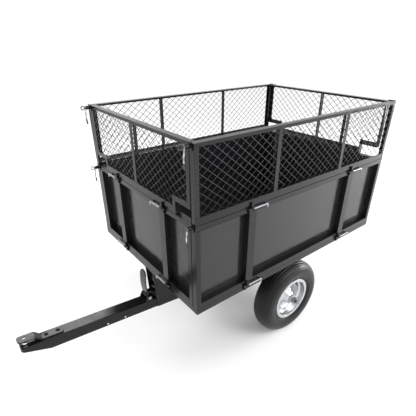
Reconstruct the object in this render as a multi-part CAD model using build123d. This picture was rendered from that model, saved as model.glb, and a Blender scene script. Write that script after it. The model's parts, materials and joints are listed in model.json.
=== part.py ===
from build123d import *
import os
from math import atan2, ceil, cos, degrees, hypot, radians, sin, tan

# Two-wheeled tow behind tipping cart. Millimetres, +Z up, +X towards the hitch, +Y the cart's left.
# Heights are above the ground. Everything is drawn about the middle of the bed, then moved along X
# at export so that the origin is the middle of the whole cart's footprint.

# ---- driving dimensions ------------------------------------------------------------------------
BED_LENGTH = 1185.0
BED_WIDTH = 820.0
BED_BASE = 472.0            # underside of the bed frame
RAIL = 22.0                 # height of the bed frame's rails
RAIL_DEPTH = 26.0
WALL = 2.5                  # folded channel and angle sections
SHEET = 2.0                 # floor and panel skins

PANEL_HEIGHT = 362.0        # the four solid lower panels
PANEL_DEPTH = 28.0
PANEL_FOOT = 24.0           # bottom rail of a lower panel
PANEL_HEAD = 20.0           # top rail of a lower panel
PANEL_END = 20.0            # end uprights of a lower panel
POST_WIDTH = 38.0
SIDE_POST = 323.0           # post centres on the side panels, from the middle
END_POST = 190.0            # post centres on the front and rear panels
PANEL_GAP = 0.5             # bed frame to lower panel
CORNER_GAP = 1.0            # side panels to front and rear panels

MESH_HEIGHT = 279.0         # the four mesh panels that stand on the lower ones
MESH_DEPTH = 25.0
MESH_FOOT = 28.0
MESH_HEAD = 13.0
MESH_END = 18.0
MESH_BAR = 20.0
BAR_DEPTH = 20.0            # angle-iron bars of a mesh panel, from their faces inboard
MESH_GAP = 2.0              # lower panel to mesh panel
SIDE_BAR = 210.0            # bar centres of the side mesh panels
NOTCH_WIDTH = 90.0          # open lower corners of the front and rear mesh panels
NOTCH_HEIGHT = 52.0
DIAMOND_WIDTH = 80.0        # expanded steel sheet
DIAMOND_HEIGHT = 64.0
STRAND = 6.0
MESH_SHEET = 3.0

HINGE_OUT = 8.0             # hinge axes, outside the panels' outer faces
FOOT_HINGE_RISE = 24.0      # bottom hinge axes above the bed's underside
HEAD_HINGE_DROP = 5.0       # top hinge axes below the lower panels' tops
HINGE_PIN = 4.0             # radius
HINGE_EYE = 6.5             # radius
HINGE_FIT = 0.08            # radial clearance of the hinge pins in their eyes
EYE_LENGTH = 10.0
EYE_GAP = 1.0
HINGE_TAIL = 74.0           # bare length of a hinge pin beyond its eyes
HINGE_BEND = 13.0           # bent-down end of a hinge pin

LOCK_PIN = 4.0              # radius of the corner pull pins
LOCK_FIT = 0.1
LOCK_INSET = 20.0           # corner pins, in from the sides of the bed
LOCK_DROP = 10.0            # corner pins, below the top of the panel that they lock
LOCK_REACH = 7.5            # pin tip inside the side panel's end
LOCK_TRAVEL = 35.0
EAR = 3.0
EAR_GAP = 0.5
EAR_HALF = 13.0
SLEEVE_RADIUS = 8.0
SLEEVE = 16.0
PULL_RING = 8.0
PULL_WIRE = 2.0

LANYARD = 5.0               # diameter of the coated cable
LANYARD_BOW = [(0, 0), (0, -13), (3.5, -33), (1.5, -54)]   # (outwards, up)

WHEEL_RADIUS = 203.0
TYRE_WIDTH = 115.0
TRACK = 670.0               # wheel centre to wheel centre
RIM_SEAT = 102.0            # radius of the bead seats
RIM_FLANGE = 115.0          # radius of the rim flanges
RIM_WIDTH = 94.0
RIM_SHEET = 3.0
HUB_RADIUS = 22.0
HUB_LENGTH = 84.0
HUB_OUT = 12.0              # hub's middle, outboard of the wheel's middle
BEARING_RADIUS = 17.5
BEARING_LENGTH = 18.0
AXLE_X = -38.0
AXLE_TUBE = 17.0            # radius
STUB = 10.0                 # radius of the axle's turned ends
STUB_FIT = 0.05
WASHER = 3.0
NUT = 14.0

TONGUE_TIP_X = 1166.0
TONGUE_TIP_Z = 317.0        # middle of the tongue's side at its tip
TONGUE_WIDTH = 60.0
TONGUE_DEPTH = 50.0
TONGUE_WALL = 3.0
TONGUE_TAIL = 60.0          # tongue behind the axle
TAPER = 110.0               # tapered end of the tongue's sides
NOSE_DEPTH = 18.0
HITCH_HOLE = 8.5            # radius
SIDE_HOLES = (770.0, 855.0)  # cross holes in the tongue's sides, from the axle
SIDE_HOLE = 4.5             # radius
SIDE_HOLE_RISE = 9.0
HITCH_INSET = 20.0          # hitch pin hole to the tip
STRAP_WIDTH = 40.0
STRAP = 5.0
STRAP_LENGTH = 176.0
STRAP_FLAT = 90.0
STRAP_HOLES = (22.0, 68.0)    # from the strap's rear end
JOGGLE = 24.0
CLEVIS_GAP = 20.0
STRAP_NOSE = 7.0            # strap beyond the tongue's tip

CHEEK = 3.0                 # side plates under the bed
CHEEK_GAP = 2.0             # side plate to tongue
CHEEK_FRONT = 575.0
CHEEK_BACK = -150.0
BUSH = 4.0                  # wall of the pivot bushes
BUSH_FIT = 0.1
COVER_DROP = 110.0          # front cover plate under the bed
STRIKER_RADIUS = 6.0
STRIKER_X = 548.0
STRIKER_RISE = 36.0         # striker bar above the tongue
PAD_GAP = 0.5
LEVER_WIDTH = 50.0
LEVER = 6.0
LEVER_X = 598.0
LEVER_PIVOT_RISE = 18.0     # lever pivot above the tongue
LEVER_PIVOT = 5.0           # radius
LEVER_HEIGHT = 168.0
LEVER_BOW = 10.0
BRACKET = 4.0
BOLT = 5.0                  # radius of the chassis bolts

# ---- worked out --------------------------------------------------------------------------------
HALF_LENGTH = BED_LENGTH / 2
HALF_WIDTH = BED_WIDTH / 2
DECK = BED_BASE + RAIL
PANEL_BASE = DECK + PANEL_GAP
PANEL_TOP = PANEL_BASE + PANEL_HEIGHT
MESH_BASE = PANEL_TOP + MESH_GAP
MESH_TOP = MESH_BASE + MESH_HEIGHT
FOOT_HINGE = BED_BASE + FOOT_HINGE_RISE
HEAD_HINGE = PANEL_TOP - HEAD_HINGE_DROP
END_SPAN = HALF_WIDTH - PANEL_DEPTH - CORNER_GAP
SIDE_SPAN = HALF_LENGTH - EAR_GAP
AXLE_Z = WHEEL_RADIUS
SLOPE = degrees(atan2(TONGUE_TIP_Z - AXLE_Z, TONGUE_TIP_X - AXLE_X))
TONGUE_LENGTH = hypot(TONGUE_TIP_Z - AXLE_Z, TONGUE_TIP_X - AXLE_X)
HITCH_X = TONGUE_LENGTH - HITCH_INSET
CHEEK_Y = TONGUE_WIDTH / 2 + CHEEK_GAP
STUB_START = TRACK / 2 + HUB_OUT - HUB_LENGTH / 2 - WASHER
STUB_END = TRACK / 2 + HUB_OUT + HUB_LENGTH / 2 + WASHER + NUT + 4
RING_OUT = EAR + SLEEVE + 4 + PULL_WIRE + PULL_RING
NOSE_X = AXLE_X + (TONGUE_LENGTH + STRAP_NOSE) * cos(radians(SLOPE)) - (
    TONGUE_DEPTH / 2 + CLEVIS_GAP) * sin(radians(SLOPE))
REAR_X = -HALF_LENGTH - RING_OUT - PULL_RING - PULL_WIRE
MIDDLE_X = (NOSE_X + REAR_X) / 2

os.makedirs("parts", exist_ok=True)


def save(shape, node):
    """Write one node, moved so that the cart's middle is the origin."""
    export_step(Pos(-MIDDLE_X, 0, 0) * shape, f"parts/{node}.step")


def block(x0, x1, y0, y1, z0, z1):
    """A box between two corners."""
    return Pos((x0 + x1) / 2, (y0 + y1) / 2, (z0 + z1) / 2) * Box(
        abs(x1 - x0), abs(y1 - y0), abs(z1 - z0))


def bar_x(x0, x1, y, z, radius):
    """A round bar along X."""
    return Pos((x0 + x1) / 2, y, z) * Rot(0, 90, 0) * Cylinder(radius, abs(x1 - x0))


def bar_y(x, y0, y1, z, radius):
    """A round bar along Y."""
    return Pos(x, (y0 + y1) / 2, z) * Rot(90, 0, 0) * Cylinder(radius, abs(y1 - y0))


def plate_xz(points, y0, y1):
    """A flat plate with an outline in X and Z, between two Y planes."""
    face = make_face(Polyline(*[(x, y0, z) for x, z in points], close=True))
    return extrude(face, amount=y1 - y0, dir=(0, 1, 0))


# ---- panels ------------------------------------------------------------------------------------
# A panel is drawn with x along it, y outwards from its outer face and z up, and then set on its side
# of the bed. slide is the way along x that its hinge pins point.
SIDES = {
    "left": dict(turn=0, at=(0, HALF_WIDTH), half=SIDE_SPAN, post=SIDE_POST, slide=-1),
    "right": dict(turn=180, at=(0, -HALF_WIDTH), half=SIDE_SPAN, post=SIDE_POST, slide=1),
    "front": dict(turn=-90, at=(HALF_LENGTH, 0), half=END_SPAN, post=END_POST, slide=1),
    "rear": dict(turn=90, at=(-HALF_LENGTH, 0), half=END_SPAN, post=END_POST, slide=-1),
}
LOCK_U = HALF_WIDTH - LOCK_INSET


def on_side(side, shape):
    """Set a panel-frame shape on its side of the bed."""
    return Pos(*side["at"], 0) * Rot(0, 0, side["turn"]) * shape


def channel(x0, x1, z0, z1, depth):
    """A folded channel whose web is the outer face and whose open side is inboard."""
    outer = block(x0, x1, -depth, 0, z0, z1)
    return outer - block(x0 + SHEET, x1 - SHEET, -depth, -SHEET, z0 + SHEET, z1 - SHEET)


def stations(side):
    """Middles of a side's fixed and moving hinge eyes, and the end of each hinge pin, along x."""
    slide = side["slide"]
    step = (EYE_LENGTH + EYE_GAP) / 2
    for post in (-side["post"], side["post"]):
        edge = post - slide * POST_WIDTH / 2
        yield edge - slide * step, edge + slide * step, edge + slide * (2 * step + HINGE_TAIL)


def eye(x, z, reach):
    """A hinge eye and the leg that carries it, reaching up or down to its own rail."""
    ring = bar_x(x - EYE_LENGTH / 2, x + EYE_LENGTH / 2, HINGE_OUT, z, HINGE_EYE)
    half = EYE_LENGTH / 2
    return ring + block(x - half, x + half, 0, HINGE_OUT, *reach)


def bored(shape, z):
    """Bore a side's hinge eyes for their pins."""
    return shape - bar_x(-BED_LENGTH, BED_LENGTH, HINGE_OUT, z, HINGE_PIN + HINGE_FIT)


def hinge_pins(side, z):
    """A side's two hinge pins, each with a bent-down end."""
    pins = []
    for fixed, _, end in stations(side):
        start = fixed - side["slide"] * (EYE_LENGTH / 2 + 2)
        path = FilletPolyline((start, HINGE_OUT, z), (end, HINGE_OUT, z),
                              (end, HINGE_OUT, z - HINGE_BEND), radius=HINGE_PIN * 1.5)
        profile = Plane(origin=path @ 0, z_dir=path % 0) * Circle(HINGE_PIN)
        pins.append(sweep(profile, path=path))
    return pins


def lock_ears(height):
    """The two ears and sleeves that carry a front or rear panel's corner pins."""
    ears = []
    for way in (-1, 1):
        u = way * LOCK_U
        inner = way * (END_SPAN - 8)
        ear = block(inner, u + way * EAR_HALF, 0, EAR, height - EAR_HALF, height + EAR_HALF)
        sleeve = Pos(u, (EAR + SLEEVE) / 2, height) * Rot(90, 0, 0) * Cylinder(
            SLEEVE_RADIUS, EAR + SLEEVE)
        bore = Pos(u, 0, height) * Rot(90, 0, 0) * Cylinder(LOCK_PIN + LOCK_FIT, 4 * SLEEVE)
        ears.append(ear + sleeve - bore)
    return ears


def lock_slots(half, height, depth):
    """Slots in the ends of a side panel where the corner pins enter, open on the inboard side."""
    reach = LOCK_INSET - LOCK_PIN - 1
    return [block(way * (half - 2 * LOCK_REACH), way * (half + 1), -depth - 1, -reach,
                  height - LOCK_PIN - 1, height + LOCK_PIN + 1) for way in (-1, 1)]


def lower_panel(name, side):
    """The solid lower panel of one side: welded frame, skin and the pins of the hinge above it."""
    half, post = side["half"], side["post"]
    depth = PANEL_DEPTH - SHEET
    low, high = PANEL_BASE + PANEL_FOOT, PANEL_TOP - PANEL_HEAD
    head = channel(-half, half, high, PANEL_TOP, depth)
    members = [channel(-half, half, PANEL_BASE, low, depth)]
    for way in (-1, 1):
        x0, x1 = sorted((way * (half - PANEL_END), way * half))
        members.append(channel(x0, x1, low, high, depth))
        members.append(channel(way * post - POST_WIDTH / 2, way * post + POST_WIDTH / 2, low, high, depth))
    for fixed, moving, _ in stations(side):
        members.append(bored(eye(moving, FOOT_HINGE, (FOOT_HINGE, low - 4)), FOOT_HINGE))
        members.append(bored(eye(fixed, HEAD_HINGE, (high, HEAD_HINGE)), HEAD_HINGE))
    skin = block(-half + 2 * LOCK_REACH, half - 2 * LOCK_REACH, -PANEL_DEPTH, -depth,
                 PANEL_BASE, PANEL_TOP)
    height = PANEL_TOP - LOCK_DROP
    if name in ("front", "rear"):
        members += lock_ears(height)
    else:
        for slot in lock_slots(half, height, PANEL_DEPTH):
            head -= slot
    members.append(head)
    save(on_side(side, Compound(children=members)), f"{name}_panel_frame")
    save(on_side(side, skin), f"{name}_panel_skin")
    save(on_side(side, Compound(children=hinge_pins(side, HEAD_HINGE))), f"{name}_mesh_hinge_pins")


def clipped(loop, axis, limit, way):
    """The part of a convex loop on one side of a line: way is 1 to keep what lies above the limit."""
    kept = []
    for here, after in zip(loop, loop[1:] + loop[:1]):
        inside, next_inside = way * (here[axis] - limit) > 0, way * (after[axis] - limit) > 0
        if inside:
            kept.append(here)
        if inside != next_inside:
            share = (limit - here[axis]) / (after[axis] - here[axis])
            kept.append(tuple(a + share * (b - a) for a, b in zip(here, after)))
    return kept


def diamonds(bays):
    """Diamond openings of the expanded sheet, cut off at the edges of the bays they lie in."""
    wide, high = (DIAMOND_WIDTH - STRAND) / 2, (DIAMOND_HEIGHT - STRAND) / 2
    rows = ceil(MESH_HEIGHT / DIAMOND_HEIGHT) + 1
    loops = []
    for x0, x1, z0, z1 in bays:
        columns = ceil((x1 - x0) / DIAMOND_WIDTH) + 1
        for row in range(-rows, rows):
            z = (z0 + z1) / 2 + row * DIAMOND_HEIGHT / 2
            for column in range(-columns, columns):
                x = (x0 + x1) / 2 + (column + (row % 2) / 2) * DIAMOND_WIDTH
                loop = [(x - wide, z), (x, z + high), (x + wide, z), (x, z - high)]
                for axis, limit, way in ((0, x0, 1), (0, x1, -1), (1, z0, 1), (1, z1, -1)):
                    loop = clipped(loop, axis, limit, way)
                spans = [max(p[i] for p in loop) - min(p[i] for p in loop) for i in (0, 1)] if loop else [0]
                if min(spans) > STRAND:
                    loops.append(loop)
    return loops


def mesh_panel(name, side):
    """The mesh panel of one side: angle-iron frame and expanded steel sheet."""
    half = side["half"]
    ended = name in ("front", "rear")
    foot_half = half - NOTCH_WIDTH if ended else half
    bars = [0.0] if ended else [-SIDE_BAR, SIDE_BAR]
    flat = -WALL

    def angle(x0, x1, z0, z1, shelf):
        """One angle: its face, and a shelf of WALL behind the face that runs inboard along one edge."""
        return block(x0, x1, flat, 0, z0, z1) + block(*shelf[:2], -MESH_DEPTH, flat, *shelf[2:])

    foot, head = MESH_BASE + MESH_FOOT, MESH_TOP - MESH_HEAD
    members = [angle(-foot_half, foot_half, MESH_BASE, foot,
                     (-foot_half, foot_half, MESH_BASE, MESH_BASE + WALL)),
               angle(-half, half, head, MESH_TOP, (-half, half, MESH_TOP - WALL, MESH_TOP))]
    upright = MESH_BASE + NOTCH_HEIGHT if ended else MESH_BASE
    slots = [] if ended else lock_slots(half, MESH_TOP - LOCK_DROP, MESH_DEPTH)
    for way in (-1, 1):
        x0, x1 = sorted((way * (half - MESH_END), way * half))
        lip = sorted((way * (half - WALL), way * half))
        face = upright + MESH_END if ended else foot
        post = angle(x0, x1, face, head, (*lip, upright + WALL, MESH_TOP - WALL))
        for slot in slots:
            post -= slot
        members.append(post)
        if ended:
            x0, x1 = sorted((way * (foot_half - MESH_END), way * half))
            lip = sorted((way * (foot_half - WALL), way * half))
            members.append(angle(x0, x1, upright, face, (*lip, upright, upright + WALL)))
            x0, x1 = sorted((way * (foot_half - MESH_END), way * foot_half))
            lip = sorted((way * foot_half, way * (foot_half - WALL)))
            members.append(angle(x0, x1, foot, upright, (*lip, MESH_BASE + WALL, upright)))
    for bar in bars:
        members.append(block(bar - MESH_BAR / 2, bar + MESH_BAR / 2, flat, 0, foot, head))
        edge = bar - side["slide"] * MESH_BAR / 2
        x0, x1 = sorted((edge, edge + side["slide"] * WALL))
        members.append(block(x0, x1, -BAR_DEPTH, flat - MESH_SHEET, MESH_BASE + WALL, MESH_TOP - WALL))
    for fixed, moving, _ in stations(side):
        half_eye = EYE_LENGTH / 2
        leaf = bar_x(moving - half_eye, moving + half_eye, HINGE_OUT, HEAD_HINGE, HINGE_EYE)
        leaf += block(moving - half_eye, moving + half_eye, 2, HINGE_OUT, HEAD_HINGE, MESH_BASE + 16)
        leaf += block(moving - half_eye, moving + half_eye, 0, HINGE_OUT, MESH_BASE, MESH_BASE + 16)
        members.append(bored(leaf, HEAD_HINGE))

    height = MESH_TOP - LOCK_DROP
    if ended:
        members += lock_ears(height)
        outline = [(-foot_half + WALL, MESH_BASE + WALL), (foot_half - WALL, MESH_BASE + WALL),
                   (foot_half - WALL, upright + WALL), (half - WALL, upright + WALL),
                   (half - WALL, MESH_TOP - WALL), (-half + WALL, MESH_TOP - WALL),
                   (-half + WALL, upright + WALL), (-foot_half + WALL, upright + WALL)]
        inner, outer = foot_half - MESH_END, half - MESH_END
        bays = [(-inner, -MESH_BAR / 2, foot, head), (MESH_BAR / 2, inner, foot, head),
                (-outer, -inner - STRAND, upright + MESH_END, head),
                (inner + STRAND, outer, upright + MESH_END, head)]
    else:
        outline = [(-half + WALL, MESH_BASE + WALL), (half - WALL, MESH_BASE + WALL),
                   (half - WALL, MESH_TOP - WALL), (-half + WALL, MESH_TOP - WALL)]
        edges = [-half + MESH_END - MESH_BAR / 2, *bars, half - MESH_END + MESH_BAR / 2]
        bays = [(a + MESH_BAR / 2, b - MESH_BAR / 2, foot, head)
                for a, b in zip(edges, edges[1:])]
    back = flat - MESH_SHEET
    loops = [Wire.make_polygon([(x, back, z) for x, z in loop], close=True)
             for loop in diamonds(bays)]
    edge = Wire.make_polygon([(x, back, z) for x, z in outline], close=True)
    sheet = extrude(Face(edge, loops), amount=MESH_SHEET, dir=(0, 1, 0))
    sheets = sheet.solids()
    if ended:
        # The sheet over each open corner is a piece of its own, set edge to edge with the middle one.
        corners = [block(way * (inner + STRAND / 2), way * half, -MESH_DEPTH, 0, upright + WALL, MESH_TOP)
                   for way in (-1, 1)]
        sheets = (sheet - corners).solids() + (sheet & corners[0]).solids() + (
            sheet & corners[1]).solids()
    save(on_side(side, Compound(children=members)), f"{name}_mesh_frame")
    save(on_side(side, Compound(children=sheets)), f"{name}_mesh_sheet")


# ---- corner pins and their lanyards ------------------------------------------------------------
def corner_pin(side, way, height):
    """One pull pin with its ring: it lies along the cart in the sleeve of a front or rear panel."""
    u = way * LOCK_U
    neck = EAR + SLEEVE + 4
    shaft = Pos(u, (neck - LOCK_REACH) / 2, height) * Rot(90, 0, 0) * Cylinder(
        LOCK_PIN, neck + LOCK_REACH)
    ring = Pos(u, RING_OUT, height) * Rot(0, 90, 0) * Torus(PULL_RING, PULL_WIRE)
    return on_side(side, shaft + block(u - PULL_WIRE, u + PULL_WIRE, neck - 1, neck + PULL_WIRE,
                                       height - PULL_WIRE, height + PULL_WIRE) + ring)


def lanyard(side, way, height, node):
    """A short coated cable that hangs from a corner pin, between its sleeve and its ring."""
    u = way * LOCK_U
    out = EAR + SLEEVE + 2.8
    top = height - LOCK_PIN - 0.3
    points = [(u, out + dy, top + dz) for dy, dz in LANYARD_BOW]
    runs = [Vector(*b) - Vector(*a) for a, b in zip(points, points[1:])]
    radii = []
    for before, after in zip(runs, runs[1:]):
        half_turn = radians(before.get_angle(after)) / 2
        radii.append(0.45 * min(before.length, after.length) / tan(half_turn))
    path = FilletPolyline(*points, radius=radii)
    tube = sweep(Plane(origin=path @ 0, z_dir=path % 0) * Circle(LANYARD / 2), path=path)
    print(f"{node}: length {path.length:.1f}, radii {[round(r, 1) for r in radii]}")
    save(on_side(side, tube), node)


# ---- wheels and axle ---------------------------------------------------------------------------
def turned(points, side_y):
    """A solid of revolution about the axle line: points are (distance from the axle, y outboard)."""
    mirror = 1 if side_y > 0 else -1
    face = make_face(Polyline(*[(r, 0, y) for r, y in points], close=True))
    solid = revolve(face, axis=Axis.Z)
    return Pos(AXLE_X, 0, AXLE_Z) * Rot(-90 * mirror, 0, 0) * solid


def wheel(name, way):
    """Tyre, pressed steel rim with its hub, and the two hub bearings."""
    mid = TRACK / 2
    half_tyre, half_rim = TYRE_WIDTH / 2, RIM_WIDTH / 2
    crown = WHEEL_RADIUS
    tyre = turned([
        (RIM_SEAT, mid - half_rim + RIM_SHEET), (RIM_FLANGE + 4, mid - half_rim + RIM_SHEET),
        (RIM_FLANGE + 22, mid - half_tyre + 4), (WHEEL_RADIUS - 48, mid - half_tyre),
        (WHEEL_RADIUS - 22, mid - half_tyre + 5), (crown - 7, mid - half_tyre + 17),
        (crown - 1.5, mid - half_tyre + 34), (crown, mid),
        (crown - 1.5, mid + half_tyre - 34), (crown - 7, mid + half_tyre - 17),
        (WHEEL_RADIUS - 22, mid + half_tyre - 5), (WHEEL_RADIUS - 48, mid + half_tyre),
        (RIM_FLANGE + 22, mid + half_tyre - 4), (RIM_FLANGE + 4, mid + half_rim - RIM_SHEET),
        (RIM_SEAT, mid + half_rim - RIM_SHEET), (RIM_SEAT, mid + half_rim - 14),
        (RIM_SEAT + 8, mid + half_rim - 22), (RIM_SEAT + 8, mid - half_rim + 22),
        (RIM_SEAT, mid - half_rim + 14),
    ], way)
    hub_in, hub_out = mid + HUB_OUT - HUB_LENGTH / 2, mid + HUB_OUT + HUB_LENGTH / 2
    disc = mid + 4
    inner = RIM_SEAT - RIM_SHEET
    rim = turned([
        (RIM_FLANGE, mid - half_rim), (RIM_FLANGE, mid - half_rim + RIM_SHEET),
        (RIM_SEAT, mid - half_rim + RIM_SHEET), (RIM_SEAT, mid + half_rim - RIM_SHEET),
        (RIM_FLANGE, mid + half_rim - RIM_SHEET), (RIM_FLANGE, mid + half_rim),
        (inner, mid + half_rim), (inner, disc + 8), (inner - 10, disc + 1), (52, disc),
        (38, disc + 10), (HUB_RADIUS + 3, hub_out - 12), (HUB_RADIUS, hub_out - 6), (HUB_RADIUS, hub_out),
        (BEARING_RADIUS, hub_out), (BEARING_RADIUS, hub_in), (HUB_RADIUS, hub_in),
        (HUB_RADIUS, disc - RIM_SHEET), (inner - 10, disc - RIM_SHEET),
        (inner, disc - RIM_SHEET - 6), (inner, mid - half_rim),
    ], way)
    bearings = [turned([(STUB + STUB_FIT, a), (BEARING_RADIUS, a), (BEARING_RADIUS, a + BEARING_LENGTH),
                        (STUB + STUB_FIT, a + BEARING_LENGTH)], way)
                for a in (hub_in, hub_out - BEARING_LENGTH)]
    save(tyre, f"{name}_tyre")
    save(rim, f"{name}_rim")
    save(Compound(children=bearings), f"{name}_wheel_bearings")


def axle():
    """The axle tube with its turned ends, and the washers and nuts that hold the wheels."""
    beam = bar_y(AXLE_X, -STUB_START, STUB_START, AXLE_Z, AXLE_TUBE)
    beam += bar_y(AXLE_X, -STUB_END, STUB_END, AXLE_Z, STUB)
    save(beam, "axle")
    washers, nuts = [], []
    hub_out = TRACK / 2 + HUB_OUT + HUB_LENGTH / 2
    for way in (-1, 1):
        ends = [(STUB_START + 0.3, STUB_START + WASHER - 0.3), (hub_out + 0.3, hub_out + WASHER)]
        for a, b in ends:
            washers.append(turned([(STUB, a), (BEARING_RADIUS, a), (BEARING_RADIUS, b), (STUB, b)], way))
        a, b = hub_out + WASHER, hub_out + WASHER + NUT
        hexagon = Pos(AXLE_X, way * (a + b) / 2, AXLE_Z) * Rot(90, 0, 0) * extrude(
            RegularPolygon(BEARING_RADIUS, 6), amount=NUT / 2, both=True)
        nuts.append(hexagon - bar_y(AXLE_X, way * (a - 1), way * (b + 1), AXLE_Z, STUB))
    save(Compound(children=washers), "axle_washers")
    save(Compound(children=nuts), "axle_nuts")


# ---- tongue and hitch --------------------------------------------------------------------------
def along_tongue(shape):
    """Set a shape drawn along X from the axle's middle onto the sloping tongue."""
    return Pos(AXLE_X, 0, AXLE_Z) * Rot(0, -SLOPE, 0) * shape


def tongue():
    """The folded channel tongue, open below, and the joggled hitch strap on its tip."""
    half, deep = TONGUE_WIDTH / 2, TONGUE_DEPTH / 2
    body = block(-TONGUE_TAIL, TONGUE_LENGTH, -half, half, -deep, deep)
    body = fillet(body.edges().filter_by(Axis.Z).sort_by(Axis.X)[-2:], 12)
    body = fillet(body.edges().filter_by(Axis.X).group_by(Axis.Z)[-1], 5)
    body -= block(-TONGUE_TAIL - 1, TONGUE_LENGTH - 12, -half + TONGUE_WALL, half - TONGUE_WALL,
                  -deep - 1, deep - TONGUE_WALL)
    body -= plate_xz([(TONGUE_LENGTH - TAPER, -deep), (TONGUE_LENGTH + 1, deep - NOSE_DEPTH),
                      (TONGUE_LENGTH + 1, -deep - 1), (TONGUE_LENGTH - TAPER, -deep - 1)],
                     -half - 1, half + 1)
    body -= bar_y(0, -half - 1, half + 1, 0, AXLE_TUBE)
    start = TONGUE_LENGTH + STRAP_NOSE - STRAP_LENGTH
    drilled = [HITCH_X] + [start + hole for hole in STRAP_HOLES]
    for x in drilled:
        body -= Pos(x, 0, deep) * Cylinder(HITCH_HOLE, TONGUE_DEPTH)
    for x in SIDE_HOLES:
        body -= bar_y(x, -half - 1, half + 1, -deep + SIDE_HOLE_RISE, SIDE_HOLE)
    save(along_tongue(body), "tongue")

    rise = deep + CLEVIS_GAP
    profile = [(start, deep), (start + STRAP_FLAT, deep), (start + STRAP_FLAT + JOGGLE, rise),
               (start + STRAP_LENGTH, rise), (start + STRAP_LENGTH, rise + STRAP),
               (start + STRAP_FLAT + JOGGLE - 3, rise + STRAP), (start + STRAP_FLAT - 3, deep + STRAP),
               (start, deep + STRAP)]
    strap = plate_xz(profile, -STRAP_WIDTH / 2, STRAP_WIDTH / 2)
    strap = fillet(strap.edges().filter_by(Axis.Z).sort_by(Axis.X)[-2:], 12)
    strap = fillet(strap.edges().filter_by(Axis.Z).sort_by(Axis.X)[:2], 12)
    for x in drilled:
        strap -= Pos(x, 0, rise) * Cylinder(HITCH_HOLE, 2 * TONGUE_DEPTH)
    save(along_tongue(strap), "hitch_strap")


def tongue_top(x):
    """Height of the tongue's upper face at a place along the cart."""
    return AXLE_Z + (x - AXLE_X) * tan(radians(SLOPE)) + TONGUE_DEPTH / 2 / cos(radians(SLOPE))


def tongue_under(x):
    """Height of the tongue's lower edges at a place along the cart."""
    return tongue_top(x) - TONGUE_DEPTH / cos(radians(SLOPE))


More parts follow.
